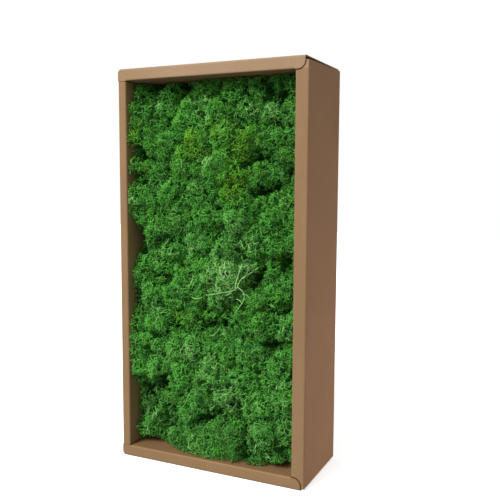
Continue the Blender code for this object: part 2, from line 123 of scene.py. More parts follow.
# Places where the dye took differently and where light and shade are painted: x, z, radius, the change of tint (dye)
# and of tone (partly dye, partly painted light and shade)
DYE_AND_SHADE_PATCHES = (
    (-108, 420, 16, -0.28, 0), (-5, 425, 13, -0.20, 0), (-28, 403, 20, -0.29, 0.03), (45, 410, 19, -0.27, -0.07),
    (35, 394, 15, -0.26, 0), (26, 352, 17, -0.38, 0.08), (-35, 321, 12, -0.32, 0.03), (92, 396, 16, -0.22, -0.04),
    (-100, 362, 12, -0.16, -0.05), (34, 171, 7, 0.14, 0.05), (-48, 86, 10, 0.05, 0), (30, 108, 12, 0.04, 0.02),
    (50, 254, 7, 0.28, 0), (-20, 455, 15, 0.24, -0.03), (45, 447, 11, 0.24, -0.04), (76, 438, 12, 0.18, -0.04),
    (-112, 340, 12, 0.20, 0.08), (36, 312, 13, 0.20, 0.05), (50, 285, 12, 0.28, 0.05), (-30, 280, 14, 0.18, 0.05),
    (-75, 358, 14, 0.10, 0.04), (12, 243, 27, 0.24, 0.18), (-38, 147, 12, 0.26, 0.06), (0, 130, 20, 0.08, 0.06),
    (70, 455, 20, -0.02, -0.16), (84, 296, 18, 0.06, -0.12), (95, 60, 22, 0, -0.10), (-75, 50, 14, 0, -0.12),
    (-70, 242, 14, -0.04, -0.12), (-10, 195, 18, -0.10, -0.02), (-48, 195, 16, -0.12, -0.10), (5, 322, 10, 0, -0.04),
    (80, 350, 16, 0, -0.14), (60, 330, 22, 0.02, 0.08), (70, 230, 20, 0, 0.06), (60, 370, 15, -0.12, -0.12),
    (-98, 114, 18, -0.04, 0.40), (-108, 150, 18, -0.02, 0.12), (-22, 34, 15, 0.06, 0.16), (60, 62, 16, 0.08, 0.06),
    (20, 56, 16, 0, -0.18), (-15, 76, 20, 0.04, 0.14), (30, 86, 12, 0.06, 0.12), (92, 66, 14, 0, -0.10),
    (12, 100, 9, 0, -0.10), (80, 400, 40, 0, -0.12), (85, 255, 18, 0, -0.12), (105, 262, 14, 0, -0.40),
    (106, 425, 18, 0, -0.34), (100, 190, 12, 0, -0.14), (8, 179, 12, 0, -0.14), (62, 218, 12, 0, -0.12),
    (20, 264, 10, 0, -0.10), (-79, 196, 12, 0, -0.10), (-79, 415, 12, 0, -0.10), (20, 432, 30, 0, -0.08),
    (-60, 468, 26, 0, 0.12), (-79, 398, 10, 0, 0.10), (25, 305, 16, 0.04, 0.12), (-90, 452, 16, 0.02, 0.04),
)
PATCH_EDGE = 1.6
# How far tint and tone vary with each head, each lobe and each root
TINT_SPREAD, TONE_SPREAD = (0.030, 0.050, 0.03), (0.05, 0.06, 0.05)
# Painted shade: how much darker the branchlets are made in a gap, in a cleft between heads and at a lobe's edge
GAP_PAINTED_SHADE, CLEFT_PAINTED_SHADE, EDGE_PAINTED_SHADE = 0.34, 0.26, 0.36

# Each clump's own solid lies this far under the roots' surface; its tone is painted shade, dark and falling with its
# depth behind the rim
CORE_DROP, CORE_BACK = 0.0085, 0.010
CORE_SHADE_TONES, CORE_SHADE_FADE, CORE_LIT_DEPTH = (0.02, 0.18), 6.0, 0.019

# Branchlets root this far apart and this deep. Each order has its number of branches, their length and width in mm, how
# far they spread in radians, and where along them their rings are.
ROOT_PITCH, ROOT_DEPTH = 0.0055, 0.0070
ORDERS = (
    (1, 4.0, 1.20, 0.00, (0, 1)), (3, 4.0, 1.10, 0.66, (0, 0.5, 1)), (3, 3.6, 0.96, 0.82, (0, 0.5, 1)),
    (3, 2.2, 0.80, 0.74, (0, 1)),
)
# Tone at the root, and at the end of each order: the dark roots are painted shade, the light tips partly the lichen's
# own colour
TONES = (0.30, 0.50, 0.68, 0.86, 0.96)
# Branchlets vary in size with each head and root, within limits, and are smaller in a gap and at a lobe's edge
SIZE_SPREAD, SIZE_LIMITS, GAP_SMALLER, EDGE_SMALLER = 0.12, (0.65, 1.45), 0.30, 0.15
# The share of roots that is left out in the middle of a gap, and everywhere
GAP_THINNED, THINNED = 0.80, 0.03
# How much branchlets lean out of the tray, and how far each strays from its way
FORWARD_LEAN, STRAY = 0.35, 0.28
# Curly strands over the heads: how many for each root, their steps, and the twigs on each
STRANDS, STRAND_STEPS, STRAND_TWIGS = 1.6, 5, 2

# Bare stems of the pale clump: points x, z and depth behind the rim, and the width at each end
PALE_CLUMP = 14
STEMS = (
    ((
        (-4, 222.5, 3), (6, 224, 1.5), (17, 227, 1), (28, 229, 1),
        (38, 233.5, 1.2), (43, 243, 1.5), (48, 248, 2), (58, 254.5, 4),
    ), 1.5, 1.4),
    (((37, 234, 1.4), (38, 240, 1), (40, 247, 1.2), (42.5, 256, 2.4), (44, 263, 5)), 1.6, 1.2),
    (((40, 235.5, 1.4), (47, 230.5, 1), (49, 223, 0.8), (46, 216.5, 1.2), (41, 210, 2), (36.5, 204.5, 4)), 1.6, 1.1),
    (((-23, 217.5, 3), (-16, 217, 2), (-9, 219, 3)), 1.2, 1.0),
    (((45, 245.5, 1.6), (50, 249, 1.2), (54, 259, 2), (50.5, 262, 3), (47, 259, 4)), 1.1, 0.9),
    (((33, 231, 1.2), (29, 226.5, 1.4), (24, 224, 2.6)), 1.1, 0.8),
    (((47, 228, 1), (52, 227, 1.5), (56, 222, 3)), 1.0, 0.8),
    (((45.5, 216, 1.4), (43, 219.5, 1.2), (38, 221, 2.4)), 1.0, 0.8),
)
STEM_TINT, STEM_TONE = 0.86, 0.90
# Where the photographed moss shows its stalks: x, z, radius, how many bare strands lie there, and their tint
STALKS = (
    (-24, 456, 16, 10, 0.80), (-22, 436, 14, 8, 0.78), (18, 432, 13, 9, 0.80), (46, 447, 10, 5, 0.80),
    (68, 440, 10, 5, 0.82), (-8, 380, 14, 9, 0.84), (-34, 366, 14, 6, 0.78), (-112, 342, 8, 4, 0.86),
    (-33, 278, 9, 7, 0.84), (-60, 290, 14, 5, 0.80), (36, 308, 12, 8, 0.82), (52, 284, 9, 7, 0.86),
    (12, 244, 20, 60, 0.80), (-22, 240, 14, 6, 0.78), (-30, 232, 10, 4, 0.80), (34, 216, 10, 5, 0.80),
    (-40, 148, 12, 9, 0.84), (-62, 262, 10, 4, 0.80), (-78, 270, 12, 5, 0.80), (8, 172, 12, 4, 0.80),
    (-18, 120, 18, 6, 0.78), (34, 100, 10, 8, 0.82), (96, 108, 12, 5, 0.82), (-92, 60, 10, 6, 0.84),
    (-105, 35, 8, 4, 0.86), (-20, 34, 14, 6, 0.80), (78, 40, 16, 6, 0.80), (72, 92, 12, 4, 0.84),
    (-70, 136, 12, 4, 0.78), (92, 180, 12, 4, 0.84), (72, 212, 12, 4, 0.80), (88, 330, 14, 5, 0.80),
    (-85, 470, 10, 4, 0.78), (92, 440, 12, 4, 0.80), (-85, 190, 12, 4, 0.78),
)
THREAD_LENGTHS, THREAD_TINTS, THREAD_TONE, THREAD_TWIG_TONE = (6, 15), (-0.10, 0.04), 0.97, 0.93

# Tint and tone differ this much between the corners of a face
CORNER_SHIFT = (-0.004, 0.004, 0.0)


def place_heads(rng):
    left, right = OPEN_LEFT + WALL_GAP, OPEN_RIGHT - WALL_GAP
    low, high = OPEN_BOTTOM + WALL_GAP, OPEN_TOP - WALL_GAP
    rows = round((high - low) / (HEAD_PITCH * math.sqrt(3) / 2))
    columns = round((right - left) / HEAD_PITCH)
    heads = []
    for r in range(rows):
        for c in range(columns + r % 2):
            x = left + (right - left) * (c + 0.5 - 0.5 * (r % 2)) / columns
            z = low + (high - low) * (r + 0.5) / rows
            x += rng.uniform(-1, 1) * HEAD_JITTER * HEAD_PITCH
            z += rng.uniform(-1, 1) * HEAD_JITTER * HEAD_PITCH
            x = min(max(x, left + SIDE_ROOM * HEAD_PITCH), right - SIDE_ROOM * HEAD_PITCH)
            z = min(max(z, low + END_ROOM * HEAD_PITCH), high - END_ROOM * HEAD_PITCH)
            away = [math.hypot(x - clump[0] / 1e3, z - clump[1] / 1e3) for clump in CLUMPS]
            heads.append((x, z, away.index(min(away))))
    return heads


def profile_depth(pairs, along):
    """How far behind the rim a wall's profile lies at places along it."""
    places, depths = np.array(pairs).T / 1e3
    return np.interp(along, places, depths)


def openness(spots):
    """1 in the middle of a gap, falling to 0 at its edge, for places (x, z) or (x, y, z)."""
    places = spots[:, (0, -1)] * 1e3
    most = np.zeros(len(spots))
    for radius, *points in GAPS:
        for a, b in zip(np.array(points, float), np.array(points[1:], float)):
            along = np.clip((places - a) @ (b - a) / ((b - a) @ (b - a)), 0, 1)
            away = np.linalg.norm(places - a - along[:, None] * (b - a), axis=1) / radius
            most = np.maximum(most, np.clip(GAP_EDGE - away, 0, 1))
    return most


class Layout:
    """The moss heads and the lobes on them, and how far a place in the opening lies behind the rim."""

    def __init__(self):
        rng = random.Random(SEED)
        heads = place_heads(rng)
        self.places = np.array([(x, z) for x, z, _ in heads])
        self.clumps = np.array([clump for _, _, clump in heads])
        self.depths = np.array([
            max(LEAST_HEAD_DEPTH, CLUMPS[clump][2] / 1e3 + rng.uniform(*HEAD_SINK)) for _, _, clump in heads
        ])
        self.styles = np.random.default_rng(77).normal(size=(len(heads), 3))
        loose = np.random.default_rng(5)
        columns, rows = (round((b - a) / LOBE_PITCH) for a, b in ((OPEN_LEFT, OPEN_RIGHT), (OPEN_BOTTOM, OPEN_TOP)))
        grid = np.array([(c + 0.5 * (r % 2), r + 0.5) for r in range(rows) for c in range(columns + 1)])
        grid = grid + loose.uniform(-LOBE_JITTER, LOBE_JITTER, grid.shape)
        span = np.array((OPEN_RIGHT - OPEN_LEFT, OPEN_TOP - OPEN_BOTTOM)) / (columns + 0.5, rows)
        self.lobes = np.array((OPEN_LEFT, OPEN_BOTTOM)) + grid * span
        self.rises = LOBE_RISE * loose.uniform(0.35, 1.5, len(grid))
        self.shades = loose.normal(0, 1, (len(grid), 2))

    def domes(self, xz):
        """For each place: its head, how near it is to the cleft round the head, and the depth of the head's dome."""
        away = np.linalg.norm(xz[:, None] - self.places[None], axis=2)
        order = np.argsort(away, axis=1)[:, :6]
        head = order[:, 0]
        share = np.zeros(len(xz))
        foot = self.depths[head] + CLEFT
        for other in order.T[1:]:
            span = np.linalg.norm(self.places[other] - self.places[head], axis=1)
            along = ((xz - self.places[head]) * (self.places[other] - self.places[head])).sum(1) / span
            reach = along / (span / 2)
            edge = (self.depths[head] + self.depths[other]) / 2
            edge = edge + np.where(self.clumps[other] == self.clumps[head], CLEFT, CLUMP_CLEFT)
            foot = np.where(reach > share, edge, foot)
            share = np.maximum(share, reach)
        for pairs, axis, wall in SEEN_WALLS + HIDDEN_WALLS:
            middle = self.places[head][:, axis]
            reach = (xz[:, axis] - middle) / (wall - middle)
            edge = profile_depth(pairs, xz[:, 1 - axis]) + WALL_DROP
            foot = np.where(reach > share, edge, foot)
            share = np.maximum(share, reach)
        share = np.clip(share, 0, 1)
        return head, share, self.depths[head] + (foot - self.depths[head]) * share**DOME_POWER

    def nearest_lobes(self, xz):
        """For each place: its lobe, and how near it is to the lobe's edge."""
        waves = xz[:, ::-1] * WAVES_PER_METRE
        bent = xz + WAVE_SIZE * np.sin(waves + np.sin(waves[:, ::-1] * 0.7))
        away = np.linalg.norm(bent[:, None] - self.lobes[None], axis=2)
        near = np.argpartition(away, 2, axis=1)[:, :2]
        both = np.take_along_axis(away, near, 1)
        lobe = near[np.arange(len(xz)), both.argmin(1)]
        return lobe, 2 * both.min(1) / both.sum(1)

    def surface(self, xz):
        """For each place: its head, its depth behind the rim, how near it is to a cleft, its lobe, and how near it is
        to the lobe's edge."""
        head, share, depth = self.domes(xz)
        lobe, fold = self.nearest_lobes(xz)
        depth = depth + self.rises[lobe] * (fold**FOLD_POWER - FOLD_LEVEL)
        for x, z, radius, rise in BULGES:
            off = np.hypot(xz[:, 0] * 1e3 - x, xz[:, 1] * 1e3 - z) / radius
            depth = depth - rise / 1e3 * np.exp(-(off**2))
        for pairs, axis, wall in SEEN_WALLS:
            edge = profile_depth(pairs, xz[:, 1 - axis])
            reach = np.interp(edge, SILHOUETTE_DEPTHS, SILHOUETTE_REACHES)
            close = np.exp(-(((xz[:, axis] - wall) / reach) ** 2))
            depth = depth + close * (edge + SILHOUETTE_DROP - depth)
        depth = np.maximum(depth, LEAST_DEPTH) + GAP_DEPTH * openness(xz)
        return head, depth, share, lobe, fold

    def normals(self, xz, step=0.0012):
        """Unit vectors out of the moss surface."""
        slopes = []
        for axis in (0, 1):
            shift = np.zeros(2)
            shift[axis] = step
            slopes.append((self.surface(xz + shift)[1] - self.surface(xz - shift)[1]) / (2 * step))
        out = np.stack([slopes[0], -np.ones(len(xz)), slopes[1]], 1)
        return out / np.linalg.norm(out, axis=1, keepdims=True)

    def nearest_clump(self, place):
        return self.clumps[np.hypot(*(self.places - np.array(place) / 1e3).T).argmin()]


def unit(vectors):
    return vectors / np.maximum(np.linalg.norm(vectors, axis=1, keepdims=True), 1e-12)


class Thicket:
    """Three-sided twigs, gathered as arrays and written as one mesh. Each corner carries a tint and a tone."""

    def __init__(self):
        self.points, self.loops, self.sizes, self.maps = [], [], [], []
        self.count = 0

    def add(self, rng, paths, radii, tones, tint):
        """Tubes along paths (n, k, 3), with radii and tones (n, k) and a tint each. Where the last radii are 0, they
        end in points."""
        n, k = radii.shape
        pointed = not np.any(radii[:, -1])
        along = np.gradient(paths, axis=1)
        along = along / np.maximum(np.linalg.norm(along, axis=2, keepdims=True), 1e-12)
        side = unit(np.cross(along[:, 0], rng.normal(size=(n, 3))))
        rings = []
        for i in range(k):
            side = unit(side - (side * along[:, i]).sum(1, keepdims=True) * along[:, i])
            other = np.cross(along[:, i], side)
            for a in (0, 2 * math.pi / 3, 4 * math.pi / 3):
                rings.append(paths[:, i] + (side * math.cos(a) + other * math.sin(a)) * radii[:, i, None])
            if pointed and i == k - 2:
                rings.append(paths[:, -1])
                break
        block = np.stack(rings, 1)
        base = self.count + np.arange(n)[:, None, None] * block.shape[1]
        shift = np.array(CORNER_SHIFT)
        for i in range(k - 1):
            if pointed and i == k - 2:
                corners = np.array([(0, 1, 3), (1, 2, 3), (2, 0, 3)]) + 3 * i
            else:
                corners = np.array([(0, 1, 4, 3), (1, 2, 5, 4), (2, 0, 3, 5)]) + 3 * i
            ring = np.minimum(corners // 3, k - 1)
            u = tint[:, None, None] + shift[corners % 3][None]
            self.loops.append((base + corners[None]).reshape(-1))
            self.sizes.append(np.full(n * 3, corners.shape[1]))
            self.maps.append(np.stack([u, tones[:, ring]], 3).reshape(-1, 2))
        self.points.append(block.reshape(-1, 3))
        self.count += n * block.shape[1]

    def add_mesh(self, points, triangles, tint, tone):
        """A ready mesh, with one tint and a tone for each of its corners."""
        self.points.append(points)
        self.loops.append(triangles.reshape(-1) + self.count)
        self.sizes.append(np.full(len(triangles), 3))
        shift = np.tile(CORNER_SHIFT, len(triangles))
        self.maps.append(np.stack([tint + shift, tone.reshape(-1) + 2 * np.abs(shift)], 1))
        self.count += len(points)

    def write(self, name, material):
        points = np.concatenate(self.points)
        # What would pass through a wall, or stand out too far in front of the rim, is turned back
        for axis, low, high in (
            (0, OPEN_LEFT + ROOM, OPEN_RIGHT - ROOM), (1, FRONT - PROUD, BACK - BOARD - WALL_GAP),
            (2, OPEN_BOTTOM + ROOM, OPEN_TOP - ROOM),
        ):
            points[:, axis] = low + np.abs(points[:, axis] - low)
            points[:, axis] = high - np.abs(high - points[:, axis])
        loops, sizes = np.concatenate(self.loops), np.concatenate(self.sizes)
        maps = np.clip(np.concatenate(self.maps), 0.01, 0.99)
        mesh = bpy.data.meshes.new(name)
        mesh.vertices.add(len(points))
        mesh.vertices.foreach_set("co", points.astype(np.float32).ravel())
        mesh.loops.add(len(loops))
        mesh.loops.foreach_set("vertex_index", loops.astype(np.int32))
        mesh.polygons.add(len(sizes))
        starts = np.concatenate([[0], np.cumsum(sizes)[:-1]])
        mesh.polygons.foreach_set("loop_start", starts.astype(np.int32))
        mesh.update(calc_edges=True)
        mesh.polygons.foreach_set("use_smooth", np.ones(len(sizes), bool))
        layer = mesh.uv_layers.new(name="OFBake")
        layer.uv.foreach_set("vector", maps.astype(np.float32).ravel())
        mesh.materials.append(material)
        piece = bpy.data.objects.new(name, mesh)
        bpy.context.scene.collection.objects.link(piece)
        return piece


def spread_roots(rng, layout, number):
    """Roots spaced evenly over a clump's surface: their places, normals, heads, nearness to a cleft, lobes and
    nearness to the lobe's edge."""
    beyond, off_wall, area_of_try = 0.030, 0.001, 1.1e-6
    own = layout.places[layout.clumps == number]
    low = np.maximum(own.min(0) - beyond, (OPEN_LEFT + off_wall, OPEN_BOTTOM + off_wall))
    high = np.minimum(own.max(0) + beyond, (OPEN_RIGHT - off_wall, OPEN_TOP - off_wall))
    tries = rng.uniform(low, high, size=(int((high - low).prod() / area_of_try), 2))
    tries = tries[layout.clumps[layout.surface(tries)[0]] == number]
    head, depth, share, lobe, fold = layout.surface(tries)
    normals = layout.normals(tries)
    spots = np.stack([tries[:, 0], FRONT + depth, tries[:, 1]], 1)
    keys = np.floor(spots / ROOT_PITCH).astype(int)
    cells, kept = {}, []
    for i in rng.permutation(len(spots)):
        key = tuple(keys[i])
        near = [
            j for dx in (-1, 0, 1) for dy in (-1, 0, 1) for dz in (-1, 0, 1)
            for j in cells.get((key[0] + dx, key[1] + dy, key[2] + dz), ())
        ]
        if all(((spots[i] - spots[j]) ** 2).sum() > ROOT_PITCH**2 for j in near):
            cells.setdefault(key, []).append(i)
            kept.append(i)
    return [values[np.array(kept)] for values in (spots, normals, head, share, lobe, fold)]


def dye_and_shade_at(spots, clump_tint):
    """The clump's tint and its change of tone, shifted by the patches that each spot lies in. The tone carries painted
    light and shade too.
    """

    def low_down(change, start, fall):
        return change * np.clip((start - spots[:, 2]) / fall, 0, 1)

    tint, tone = clump_tint + low_down(*LOW_TINT), low_down(*LOW_TONE)
    for x, z, radius, more_tint, more_tone in DYE_AND_SHADE_PATCHES:
        away = ((spots[:, 0] * 1e3 - x) ** 2 + (spots[:, 2] * 1e3 - z) ** 2) / radius**2
        near = np.exp(-(away**PATCH_EDGE))
        tint = tint + more_tint * near
        tone = tone + more_tone * near
    return tint, tone


def add_core(layout, thicket, node, tint):
    """The clump's own solid, sunk under the branchlets, so that no light comes through between them, and coloured dark
    as painted shade.
    """
    core = node.data
    points = np.empty(len(core.vertices) * 3, np.float32)
    core.vertices.foreach_get("co", points)
    points = points.reshape(-1, 3).astype(float)
    core.calc_loop_triangles()
    triangles = np.empty(len(core.loop_triangles) * 3, np.int32)
    core.loop_triangles.foreach_get("vertices", triangles)
    triangles = triangles.reshape(-1, 3)
    front = points[:, 1] < BACK - CORE_BACK
    points[front, 1] = FRONT + layout.surface(points[front][:, (0, 2)])[1] + CORE_DROP
    # Painted shade: the deeper behind the rim, the darker
    tone = CORE_SHADE_TONES[1] - CORE_SHADE_FADE * (points[:, 1] - FRONT - CORE_LIT_DEPTH)
    thicket.add_mesh(points, triangles, tint, np.clip(tone, *CORE_SHADE_TONES)[triangles])


def grow_branchlets(rng, thicket, spots, outward, size, tint, glow):
    """Forked branchlets, where each order of branches grows from the ends of the one before."""
    turn_jitter, lean_range, outward_pull, length_range = 0.3, (0.55, 1.35), 0.15, (0.7, 1.3)
    parent_bend, bend_jitter, taper, tint_jitter, tone_jitter = 0.45, 0.22, 0.16, 0.025, 0.04
    tips = unit(outward + FORWARD_LEAN * np.array([0, -1, 0]) + rng.normal(0, STRAY, (len(spots), 3)))
    starts = spots - outward * (ROOT_DEPTH * size)[:, None]
    for order, (children, length, width, spread, rings) in enumerate(ORDERS):
        n = len(starts)
        side = unit(np.cross(tips, rng.normal(size=(n, 3))))
        other = np.cross(tips, side)
        turn = rng.uniform(0, 2 * math.pi, n)
        found = []
        for k in range(children):
            angle = turn + 2 * math.pi * k / children + rng.normal(0, turn_jitter, n)
            lean = spread * rng.uniform(*lean_range, n)
            out = (side * np.cos(angle)[:, None] + other * np.sin(angle)[:, None]) * np.sin(lean)[:, None]
            way = unit(tips * np.cos(lean)[:, None] + out + outward_pull * outward)
            own_tint, own_glow = tint + rng.normal(0, tint_jitter, n), glow + rng.normal(0, tone_jitter, n)
            found.append((starts, tips, way, outward, size, own_tint, own_glow))
        starts, before, tips, outward, size, tint, glow = (np.concatenate(group) for group in zip(*found))
        n = len(starts)
        reach = length / 1e3 * size * rng.uniform(*length_range, n)
        # A branchlet leaves along its parent and bends round to its own way
        bend = parent_bend * (before - tips) + rng.normal(0, bend_jitter, (n, 3))
        along = np.array(rings, float)
        paths = starts[:, None] + reach[:, None, None] * (
            along[None, :, None] * tips[:, None] + (along * (1 - along))[None, :, None] * bend[:, None] * 2
        )
        radii = (width / 2e3 * np.sqrt(size))[:, None] * (1.0 - taper * along)[None]
        if order == len(ORDERS) - 1:
            radii[:, -1] = 0
        tones = TONES[order] + (TONES[order + 1] - TONES[order]) * along[None] + glow[:, None]
        thicket.add(rng, paths, radii, tones, tint)
        starts = paths[:, -1]


def grow_strands(rng, thicket, spots, normals, tint, glow, bare):
    """Curly strands that rise out of the heads, run over them and dip back, each with a few twigs. They are left out
    where bare is near 1, and are lighter on pale moss."""
    # In mm: how far a strand starts from its root, its step, how high it rises, and its width
    scatter, step_range, peak_range, width_range = 2.0, (1.3, 2.1), (2.6, 5.2), (0.95, 1.25)
    turn_range, turn_jitter, taper, dip = (0.10, 0.75), 0.40, 0.30, 0.002
    pick = rng.integers(0, len(spots), int(STRANDS * len(spots)))
    pick = pick[rng.random(len(pick)) > bare[pick]]
    spots, normals, tint, glow = spots[pick], normals[pick], tint[pick], glow[pick]
    n = len(spots)
    side = unit(np.cross(normals, rng.normal(size=(n, 3))))
    other = np.cross(normals, side)
    place = spots + (side * rng.normal(0, scatter, (n, 1)) + other * rng.normal(0, scatter, (n, 1))) / 1e3
    turn = rng.choice((-1.0, 1.0), n) * rng.uniform(*turn_range, n)
    angle, step = rng.uniform(0, 2 * math.pi, n), rng.uniform(*step_range, n) / 1e3
    peak, lean = rng.uniform(*peak_range, n) / 1e3, rng.uniform(0.25, 0.9, n)
    marks, ways = [], []
    for k in range(STRAND_STEPS + 1):
        rise = np.sin(math.pi * np.clip((k + lean) / (STRAND_STEPS + 1), 0, 1))
        marks.append(place + normals * ((peak + dip) * rise - dip)[:, None])
        angle = angle + turn + rng.normal(0, turn_jitter, n)
        ways.append(side * np.cos(angle)[:, None] + other * np.sin(angle)[:, None])
        place = place + step[:, None] * ways[-1]
    paths, ways = np.stack(marks, 1), np.stack(ways, 1)
    share = np.arange(STRAND_STEPS + 1) / STRAND_STEPS
    radii = rng.uniform(*width_range, (n, 1)) * (1.0 - taper * share)[None] / 2e3
    pale = np.clip((tint - 0.36) / 0.26, 0, 1)
    tint = tint + 0.02 + 0.12 * pale + rng.normal(0, 0.04, n)
    tones = 0.80 + 0.14 * pale + 0.8 * glow + rng.normal(0, 0.08, n)
    tones = np.clip(tones[:, None] + 0.12 * np.sin(math.pi * share)[None], 0, 1)
    thicket.add(rng, paths, radii, tones, tint)
    for _ in range(STRAND_TWIGS):
        at = rng.integers(1, STRAND_STEPS, n)
        base, way = paths[np.arange(n), at], ways[np.arange(n), at]
        out = np.cross(way, normals) * rng.choice((-1.0, 1.0), (n, 1)) + 0.5 * way
        out = unit(out + normals * rng.uniform(-0.2, 0.9, (n, 1)))
        ends = out * rng.uniform(0.0016, 0.0034, (n, 1))
        curl = unit(rng.normal(0, 1, (n, 3))) * 0.0007
        radii = np.tile((0.46, 0.38, 0.0), (n, 1)) / 1e3
        tones = np.clip(0.86 + 0.12 * pale + 0.8 * glow, 0, 1)[:, None] + np.zeros(3)
        thicket.add(rng, bowed(base, ends, curl), radii, tones, tint)


def bowed(base, ends, curl):
    """Paths of three points from base to base + ends, whose middles are pushed out by curl."""
    share = np.array((0, 0.5, 1.0))
    bow = 4 * share * (1 - share)
    return base[:, None] + ends[:, None] * share[None, :, None] + curl[:, None] * bow[None, :, None]


def rounded(points, steps):
    """A smooth path through points."""
    padded = np.concatenate([[2 * points[0] - points[1]], points, [2 * points[-1] - points[-2]]])
    found = []
    for a, b, c, d in zip(padded, padded[1:], padded[2:], padded[3:]):
        for t in np.arange(steps) / steps:
            found.append(b + 0.5 * t * (c - a + t * (2 * a - 5 * b + 4 * c - d + t * (3 * (b - c) + d - a))))
    return np.array(found + [points[-1]])


def thread_list():
    """Bare strands: place in mm, length in mm and tint."""
    rng = random.Random(3)
    found = []
    for x, z, radius, count, tint in STALKS:
        for _ in range(count):
            away, angle = radius * math.sqrt(rng.random()), rng.uniform(0, 2 * math.pi)
            place = (x + away * math.cos(angle), z + away * math.sin(angle))
            found.append((place, rng.uniform(*THREAD_LENGTHS), tint + rng.uniform(*THREAD_TINTS)))
    return found


def grow_thread(rng, layout, thicket, thread):
    """A bare curly strand that lies over the moss, with a few twigs."""
    place, length, tint = thread
    off_wall, least_depth, lift_range, twig_lengths, curl_size = 0.002, 0.0015, (0.0052, 0.0082), (0.002, 0.005), 0.0009
    steps = max(5, round(length / 2.5))
    way, turn = rng.uniform(0, 2 * math.pi), rng.normal(0, 0.35)
    xz = [np.array(place) / 1e3]
    for _ in range(steps):
        turn = 0.6 * turn + rng.normal(0, 0.35)
        way += turn
        xz.append(xz[-1] + length / steps / 1e3 * np.array((math.cos(way), math.sin(way))))
    xz = np.clip(xz, (OPEN_LEFT + off_wall, OPEN_BOTTOM + off_wall), (OPEN_RIGHT - off_wall, OPEN_TOP - off_wall))
    depth = np.convolve(np.pad(layout.surface(xz)[1], 2, "edge"), (0.1, 0.2, 0.4, 0.2, 0.1), "valid")
    lift = rng.uniform(*lift_range) + 0.0012 * np.sin(np.arange(steps + 1) * 1.3)
    path = np.stack([xz[:, 0], FRONT + np.maximum(depth - lift, least_depth), xz[:, 1]], 1)
    radii = np.linspace(rng.uniform(0.85, 1.15), 0.7, steps + 1)[None] / 2e3
    thicket.add(rng, path[None], radii, np.full(radii.shape, THREAD_TONE), np.array([tint]))
    twigs = rng.integers(1, steps, max(2, steps // 2))
    ends = unit(rng.normal(0, 1, (len(twigs), 3)) * (1, 0.4, 1)) * rng.uniform(*twig_lengths, (len(twigs), 1))
    curl = unit(rng.normal(0, 1, (len(twigs), 3))) * curl_size
    radii = np.tile((0.42, 0.36, 0.26), (len(twigs), 1)) / 1e3
    tones = np.full(radii.shape, THREAD_TWIG_TONE)
    thicket.add(rng, bowed(path[twigs], ends, curl), radii, tones, np.full(len(twigs), tint))


def grow_stems(rng, thicket):
    """The long forked stem of the pale clump, and the short ones beside it."""
    for points, wide, narrow in STEMS:
        path = rounded(np.array([(x / 1e3, FRONT + depth / 1e3, z / 1e3) for x, z, depth in points]), 5)[None]
        radii = np.linspace(wide, narrow, path.shape[1])[None] / 1.85e3
        thicket.add(rng, path, radii, np.full(radii.shape, STEM_TONE), np.array([STEM_TINT]))


def grow_clump(number, layout, threads, node, material):
    """One clump's core, strands, branchlets and bare stalks, as a piece that replaces its solid."""
    rng = np.random.default_rng(1000 + number)
    thicket = Thicket()
    kind = CLUMPS[number][3]
    add_core(layout, thicket, node, TINTS[kind])
    roots = spread_roots(rng, layout, number)
    gap = openness(roots[0])
    keep = rng.random(len(gap)) > GAP_THINNED * gap + THINNED
    spots, normals, head, share, lobe, fold, gap = (values[keep] for values in (*roots, gap))
    n = len(spots)
    style, shade = layout.styles[head], layout.shades[lobe]
    size = np.clip(1.0 + SIZE_SPREAD * style[:, 0] + rng.normal(0, SIZE_SPREAD, n), *SIZE_LIMITS)
    size = size * (1 - GAP_SMALLER * gap) * (1 - EDGE_SMALLER * fold**4)
    tint, glow = dye_and_shade_at(spots, TINTS[kind])
    by_head, by_lobe, by_root = TINT_SPREAD
    tint = tint + by_head * style[:, 1] + by_lobe * shade[:, 0] + rng.normal(0, by_root, n)
    by_head, by_lobe, by_root = TONE_SPREAD
    glow = glow + by_head * style[:, 2] + by_lobe * shade[:, 1] + rng.normal(0, by_root, n)
    # Painted shade in the gaps, the clefts and at the lobes' edges
    glow = glow - GAP_PAINTED_SHADE * gap - CLEFT_PAINTED_SHADE * share**6 - EDGE_PAINTED_SHADE * fold**6
    bare = np.maximum(gap, 0.90 * np.maximum(share, fold) ** 5)
    grow_strands(rng, thicket, spots, normals, tint, glow, bare)
    grow_branchlets(rng, thicket, spots, normals, size, tint, glow)
    for thread in threads:
        if layout.nearest_clump(thread[0]) == number:
            grow_thread(rng, layout, thicket, thread)
    if number == PALE_CLUMP:
        grow_stems(rng, thicket)
    piece = thicket.write(f"moss_{number + 1:02d}", material)
    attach(piece, "root")
    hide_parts(f"moss_clump_{number + 1:02d}")


def node_of(tree, kind, **inputs):
    made = tree.nodes.new(kind)
    for name, value in inputs.items():
        made.inputs[name].default_value = value
    return made


def ramp(tree, source, stops):
    made = tree.nodes.new("ShaderNodeValToRGB")
    elements = made.color_ramp.elements
    while len(elements) < len(stops):
        elements.new(0.5)
    for element, (place, colour) in zip(elements, stops):
        element.position = place
        element.color = (*colour, 1)
    tree.links.new(source, made.inputs["Fac"])
    return made.outputs["Color"]


def mix_colours(tree, blend, factor, first, second):
    """A colour mix. The factor is a socket or a number, and the second colour a socket or a plain colour."""
    mix = tree.nodes.new("ShaderNodeMix")
    mix.data_type, mix.blend_type = "RGBA", blend
    colours = [socket for socket in mix.inputs if socket.type == "RGBA"]
    for socket, value in ((mix.inputs["Factor"], factor), (colours[0], first), (colours[1], second)):
        if isinstance(value, bpy.types.NodeSocket):
            tree.links.new(value, socket)
        elif isinstance(value, tuple):
            socket.default_value = (*value, 1)
        else:
            socket.default_value = value
    return next(socket for socket in mix.outputs if socket.type == "RGBA")


